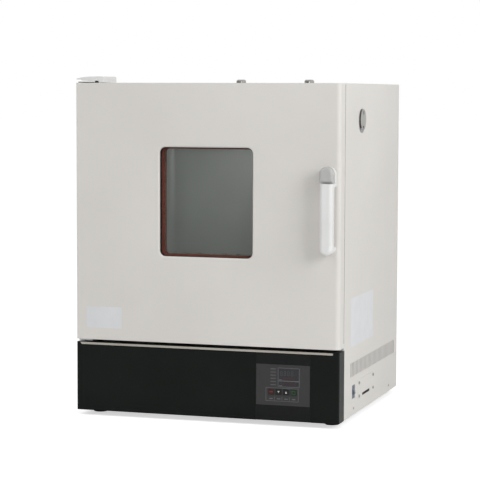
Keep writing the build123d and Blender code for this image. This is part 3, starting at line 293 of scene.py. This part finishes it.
# Unlit digits and red rows of the display, shown as a faint print on its window
segments = {"left": 201.0, "pitch": 9.4, "digits": 4, "wide": 6.2, "low": 130.0, "tall": 12.5,
            "bar": 1.3, "thick": 0.06,
            "redRows": (((208.0, 240.0), (119.5, 127.0)), ((204.0, 244.0), (106.5, 113.5)))}
lensY = (lensFront - segments["thick"], lensFront)
ghost, redGhost = bmesh.new(), bmesh.new()
bar, half = segments["bar"], (segments["tall"] - segments["bar"]) / 2
for i in range(segments["digits"]):
    left = segments["left"] + i * segments["pitch"]
    for level in range(3):
        z = segments["low"] + level * half
        addPlate(ghost, (left + bar, left + segments["wide"] - bar), lensY, (z, z + bar))
    for x in (left, left + segments["wide"] - bar):
        for level in range(2):
            z = segments["low"] + level * half + bar
            addPlate(ghost, (x, x + bar), lensY, (z, z + half - bar))
for x, z in segments["redRows"]:
    addPlate(redGhost, x, lensY, z)
finishPiece("display_segments", ghost, "cabinet", "ghostInk")
finishPiece("display_red_rows", redGhost, "cabinet", "redGhostInk")

# Signs on the keys, and on the film below them a bar under each key and a line between two. Arrow,
# bar, square, caption and split are half sizes, and splitGap is from a key to the line at its left.
keyMarks = {"arrow": 2.7, "bar": (4.0, 1.0), "thick": 0.06, "square": 4.6, "line": 1.1,
            "captionZ": (69.5, 72.0), "caption": 4.5, "splitZ": (66.5, 76.0), "split": 0.5,
            "splitGap": 2.0}
for name, finish in (("key_red", "redInk"), ("key_down", "whiteInk"), ("key_up", "whiteInk"),
                     ("key_green", "greenInk")):
    low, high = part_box(name)
    x, z = (low.x + high.x) / 2 / mm, (low.z + high.z) / 2 / mm
    front = (low.y / mm - keyMarks["thick"], low.y / mm)
    mark = bmesh.new()
    if name == "key_red":
        wide, tall = keyMarks["bar"]
        addPlate(mark, (x - wide, x + wide), front, (z - tall, z + tall))
    elif name == "key_green":
        reach = keyMarks["square"]
        addFrame(mark, (x - reach, x + reach), front, (z - reach, z + reach), keyMarks["line"])
    else:
        tip = keyMarks["arrow"] * (1 if name == "key_up" else -1)
        addOutline(mark, [(x - tip, z - tip), (x + tip, z - tip), (x, z + tip)], front)
    finishPiece(name + "_mark", mark, name, finish)
captions = bmesh.new()
for i, name in enumerate(("key_red", "key_down", "key_up", "key_green")):
    low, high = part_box(name)
    x = (low.x + high.x) / 2 / mm
    addPlate(captions, (x - keyMarks["caption"], x + keyMarks["caption"]), inkY, keyMarks["captionZ"])
    if i:
        edge = x - (high.x - low.x) / 2 / mm - keyMarks["splitGap"]
        addPlate(captions, (edge - keyMarks["split"], edge + keyMarks["split"]), inkY, keyMarks["splitZ"])
finishPiece("key_captions", captions, "cabinet", "greyInk")
print("control panel printed")


# Blank stickers, and a dull grey strip of painted shade that darkens the gap behind the door

def addCard(name, body, finish, x, y, z):
    card = bmesh.new()
    addPlate(card, x, y, z)
    finishPiece(name, card, body, finish)


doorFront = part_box("door_skin")[0].y / mm
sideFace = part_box("right_side_panel")[1].x / mm
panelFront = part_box("right_side_panel")[0].y / mm
stickers = {"thick": 0.15, "doorX": (-327.0, -229.0), "doorZ": (232.0, 288.0),
            "sideY": (-195.0, 48.0), "sideZ": (194.0, 320.0)}
addCard("door_sticker", "door", "labelStock", stickers["doorX"],
        (doorFront - stickers["thick"], doorFront), stickers["doorZ"])
addCard("side_sticker", "cabinet", "labelStock",
        (sideFace, sideFace + stickers["thick"]), stickers["sideY"], stickers["sideZ"])
# A thin grey strip on the frame beside the door, painted shade for the dark gap between the door and the
# cabinet.
gapTape = {"x": (348.0, 354.3), "thick": 1.5, "z": (212.0, 866.0)}
addCard("gap_shade_strip", "cabinet", "paintedGapShade", gapTape["x"],
        (panelFront - gapTape["thick"], panelFront), gapTape["z"])
print("stickers and tape placed")


# Dark crosses on the four screws of the service plate, by Geometry Nodes: painted shade of their cross
# recesses. Head is how far the screws stand above the plate, and inset is from its edges to their middles.

recess = {"arm": 4.4, "line": 1.0, "depth": 0.12, "head": 2.0, "inset": 7.5}


def recessTree(material):
    tree = bpy.data.node_groups.new("recessShadeCross", "GeometryNodeTree")
    tree.interface.new_socket("Geometry", in_out="INPUT", socket_type="NodeSocketGeometry")
    for name in ("Arm", "Line", "Depth"):
        tree.interface.new_socket(name, in_out="INPUT", socket_type="NodeSocketFloat")
    tree.interface.new_socket("Geometry", in_out="OUTPUT", socket_type="NodeSocketGeometry")
    start = addNode(tree, "NodeGroupInput").outputs
    join = addNode(tree, "GeometryNodeJoinGeometry")
    for along, across in (("Arm", "Line"), ("Line", "Arm")):
        size = addNode(tree, "ShaderNodeCombineXYZ", {"X": start["Depth"], "Y": start[along],
                                                      "Z": start[across]})
        bar = addNode(tree, "GeometryNodeMeshCube", {"Size": size.outputs["Vector"]})
        tree.links.new(bar.outputs["Mesh"], join.inputs["Geometry"])
    spread = addNode(tree, "GeometryNodeInstanceOnPoints", {"Points": start["Geometry"],
                                                            "Instance": join.outputs["Geometry"]})
    real = addNode(tree, "GeometryNodeRealizeInstances", {"Geometry": spread.outputs["Instances"]})
    painted = addNode(tree, "GeometryNodeSetMaterial", {"Geometry": real.outputs["Geometry"],
                                                        "Material": material})
    addNode(tree, "NodeGroupOutput", {"Geometry": painted.outputs["Geometry"]})
    return tree


plateLow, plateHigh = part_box("service_plate")
places = [(plateHigh.x + (recess["head"] + recess["depth"] / 2) * mm, y, z)
          for y in (plateLow.y + recess["inset"] * mm, plateHigh.y - recess["inset"] * mm)
          for z in (plateLow.z + recess["inset"] * mm, plateHigh.z - recess["inset"] * mm)]
seeds = bpy.data.meshes.new("recessPlaces")
seeds.from_pydata(places, [], [])
maker = bpy.data.objects.new("recessPlaces", seeds)
bpy.context.scene.collection.objects.link(maker)
modifier = maker.modifiers.new("recessShadeCross", "NODES")
modifier.node_group = recessTree(finishes["recessShade"])
sockets = {item.name: item.identifier for item in modifier.node_group.interface.items_tree
           if item.in_out == "INPUT"}
for key in ("arm", "line", "depth"):
    modifier[sockets[key.capitalize()]] = recess[key] * mm
grown = maker.evaluated_get(bpy.context.evaluated_depsgraph_get())
# The crosses are painted shade of the recesses: thin dark plates on the screw heads.
crosses = bpy.data.objects.new("screw_recess_shade", bpy.data.meshes.new_from_object(grown))
bpy.data.objects.remove(maker)
bpy.context.scene.collection.objects.link(crosses)
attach(crosses, "cabinet")
print("screw recesses cut,", len(crosses.data.polygons), "faces")


# Camera and light. The camera was solved from the photograph's straight edges, angles in radians.

cameraLook = {"place": (1.5017, -4.7600, 0.8409), "yaw": 0.30673, "down": 0.07878, "roll": 0.0032,
              "focalPixels": 1843.08, "framePixels": 480, "sensor": 36.0, "reach": 60}


def placeCamera(look):
    yaw, down, roll = look["yaw"], look["down"], look["roll"]
    forward = Vector((-math.sin(yaw) * math.cos(down), math.cos(yaw) * math.cos(down), -math.sin(down)))
    level = Vector((math.cos(yaw), math.sin(yaw), 0))
    above = level.cross(forward)
    right = math.cos(roll) * level + math.sin(roll) * above
    up = -math.sin(roll) * level + math.cos(roll) * above
    data = bpy.data.cameras.new("photoCamera")
    data.sensor_width = look["sensor"]
    data.lens = look["focalPixels"] * look["sensor"] / look["framePixels"]
    data.clip_end = look["reach"]
    camera = bpy.data.objects.new("photoCamera", data)
    turn = Matrix((right, up, -forward)).transposed().to_4x4()
    camera.matrix_world = Matrix.Translation(look["place"]) @ turn
    bpy.context.scene.collection.objects.link(camera)
    bpy.context.scene.camera = camera


# Sizes are metres and powers are watts. The third stands in the chamber, in the place of the
# light that a room gives there.
softboxes = {
    "keySoftbox": {"place": (-2.6, -3.0, 3.6), "target": (0, 0, 0.45), "size": 2.4, "power": 48},
    "fillSoftbox": {"place": (3.9, -2.2, 2.1), "target": (0.2, 0, 0.5), "size": 2.4, "power": 104},
    "chamberSoftbox": {"place": (0, -0.15, 0.78), "target": (0, 0.02, 0.4), "size": 0.3, "power": 0.64},
}


def addSoftbox(name, look):
    data = bpy.data.lights.new(name, "AREA")
    data.shape, data.size, data.energy = "SQUARE", look["size"], look["power"]
    lamp = bpy.data.objects.new(name, data)
    turn = (Vector(look["target"]) - Vector(look["place"])).to_track_quat("-Z", "Y")
    lamp.matrix_world = Matrix.Translation(look["place"]) @ turn.to_matrix().to_4x4()
    bpy.context.scene.collection.objects.link(lamp)


# Gloss sees a white backdrop behind the oven and a dim room in front of it. Turn is where it goes
# from one to the other, as the Y of the direction.
worldLook = {"ambient": 0.50, "backdrop": 1.0, "frontGloss": 0.04, "backGloss": 1.0, "turn": (-0.55, 0.15)}


def lightWorld(look):
    world = bpy.data.worlds.new("studio")
    bpy.context.scene.world = world
    world.use_nodes = True
    tree = world.node_tree
    tree.nodes.clear()
    path = addNode(tree, "ShaderNodeLightPath")
    seen = addNode(tree, "ShaderNodeMath", {0: path.outputs["Is Camera Ray"],
                                            1: path.outputs["Is Transmission Ray"]}, operation="MAXIMUM")
    direction = addNode(tree, "ShaderNodeTexCoord").outputs["Generated"]
    along = addNode(tree, "ShaderNodeSeparateXYZ", {"Vector": direction}).outputs["Y"]
    gloss = addNode(tree, "ShaderNodeMapRange", {
        "Value": along, "From Min": look["turn"][0], "From Max": look["turn"][1],
        "To Min": look["frontGloss"], "To Max": look["backGloss"]}).outputs["Result"]
    shine = addNode(tree, "ShaderNodeMix", {0: path.outputs["Is Glossy Ray"], 2: look["ambient"], 3: gloss})
    level = addNode(tree, "ShaderNodeMix", {0: seen.outputs[0], 2: shine.outputs[0], 3: look["backdrop"]})
    sky = addNode(tree, "ShaderNodeBackground", {"Color": (1, 1, 1, 1), "Strength": level.outputs[0]})
    addNode(tree, "ShaderNodeOutputWorld", {"Surface": sky.outputs[0]})


# Glow lifts the paper to white where the camera sees it.
floorLook = {"size": 400, "paper": "#ececec", "glow": 0.6}


def layFloor(look):
    bm = bmesh.new()
    bmesh.ops.create_grid(bm, x_segments=1, y_segments=1, size=look["size"] / 2)
    mesh = bpy.data.meshes.new("studioFloor")
    bm.to_mesh(mesh)
    bm.free()
    floor = bpy.data.objects.new("studioFloor", mesh)
    bpy.context.scene.collection.objects.link(floor)
    material = bpy.data.materials.new("palePaper")
    material.use_nodes = True
    tree = material.node_tree
    tree.nodes.clear()
    matte = addNode(tree, "ShaderNodeBsdfDiffuse", {"Color": hexToLinear(look["paper"])})
    path = addNode(tree, "ShaderNodeLightPath")
    lift = addNode(tree, "ShaderNodeMath", {0: path.outputs["Is Camera Ray"], 1: look["glow"]},
                   operation="MULTIPLY")
    shine = addNode(tree, "ShaderNodeEmission", {"Color": (1, 1, 1, 1), "Strength": lift.outputs[0]})
    both = addNode(tree, "ShaderNodeAddShader", {0: matte.outputs[0], 1: shine.outputs[0]})
    addNode(tree, "ShaderNodeOutputMaterial", {"Surface": both.outputs[0]})
    mesh.materials.append(material)


placeCamera(cameraLook)
lightWorld(worldLook)
for name, look in softboxes.items():
    addSoftbox(name, look)
layFloor(floorLook)
bpy.context.scene.view_settings.view_transform = "Standard"
print("camera and light placed")
